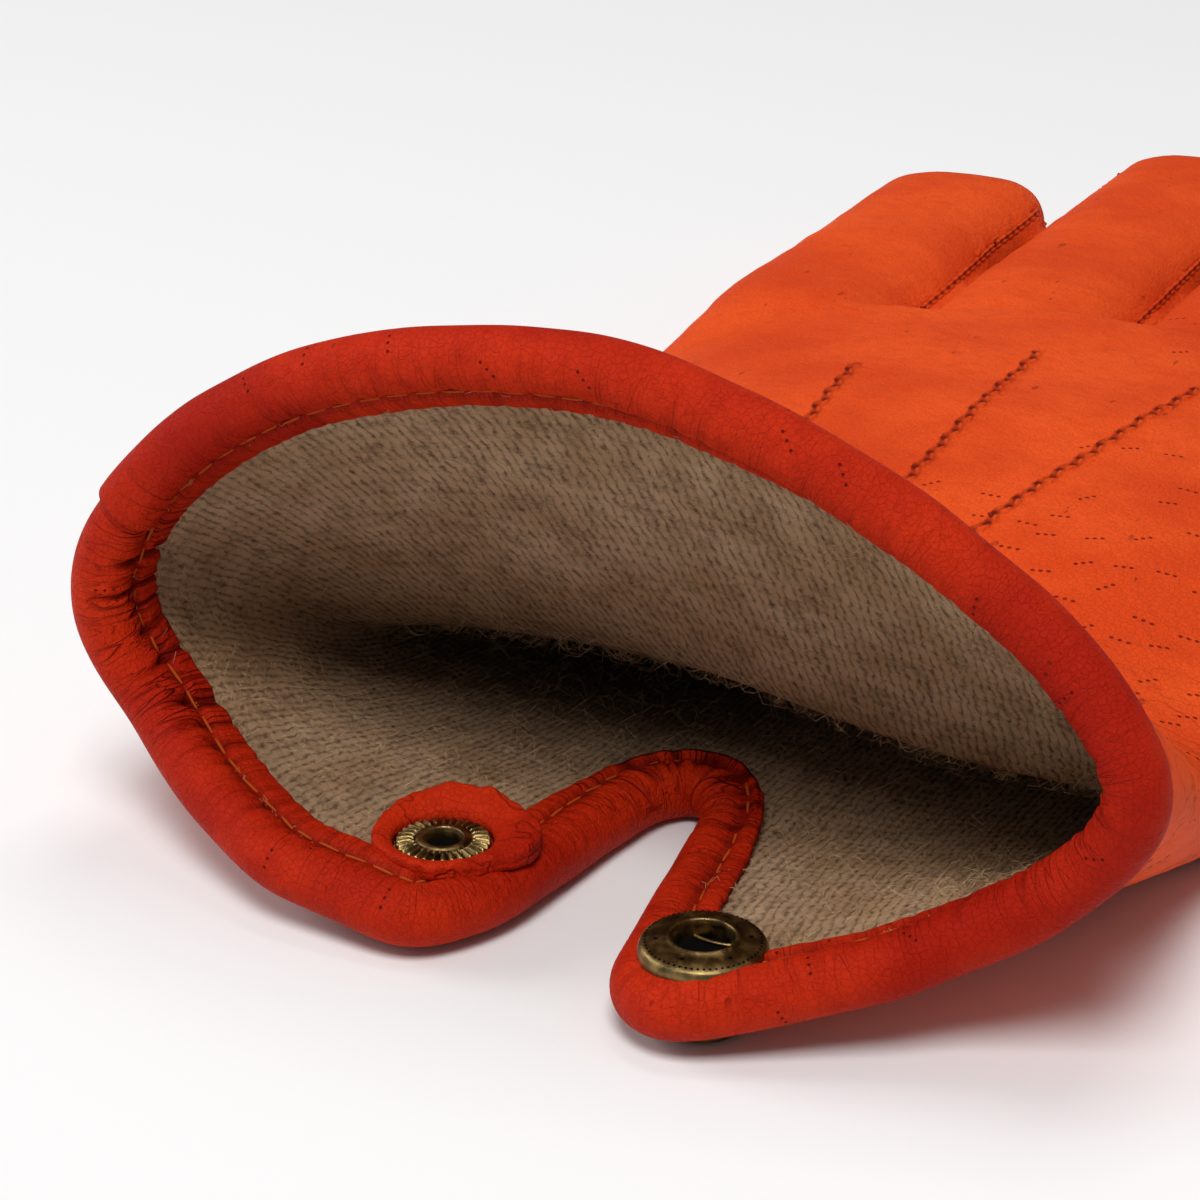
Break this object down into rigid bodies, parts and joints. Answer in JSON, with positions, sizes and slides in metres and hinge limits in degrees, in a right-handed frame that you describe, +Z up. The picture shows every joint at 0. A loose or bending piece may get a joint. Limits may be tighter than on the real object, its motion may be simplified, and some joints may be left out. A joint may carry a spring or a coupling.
{
  "type": "leather dress glove",
  "caption": "Left-hand dress glove of orange peccary leather with a knitted lining, a padded cuff roll, a wrist vent and a press snap, lying palm down, cuff open.",
  "frame": {"origin": "middle of the glove's outline seen from above, on the surface that it lies on", "axes": "+Y runs from the cuff to the fingertips, +X to the thumb side and +Z up from the palm to the back"},
  "size_m": [0.1464, 0.2478, 0.0572],
  "materials": {
    "leather": "soft, with a dull sheen",
    "binding_leather": "soft, with a dull sheen",
    "knit": "fuzzy knit",
    "antique_brass": "darkened, satin"
  },
  "bodies": {
    "root": {"trank": "leather", "fourchette_little_ring": "leather", "fourchette_ring_middle": "leather", "fourchette_middle_index": "leather", "thumb": "leather", "cuff_binding": "binding_leather", "lining": "knit", "snap_tab": "binding_leather", "snap_eyelet": "antique_brass", "snap_stud": "antique_brass", "snap_socket": "antique_brass", "snap_cap": "antique_brass"}
  },
  "joints": []
}
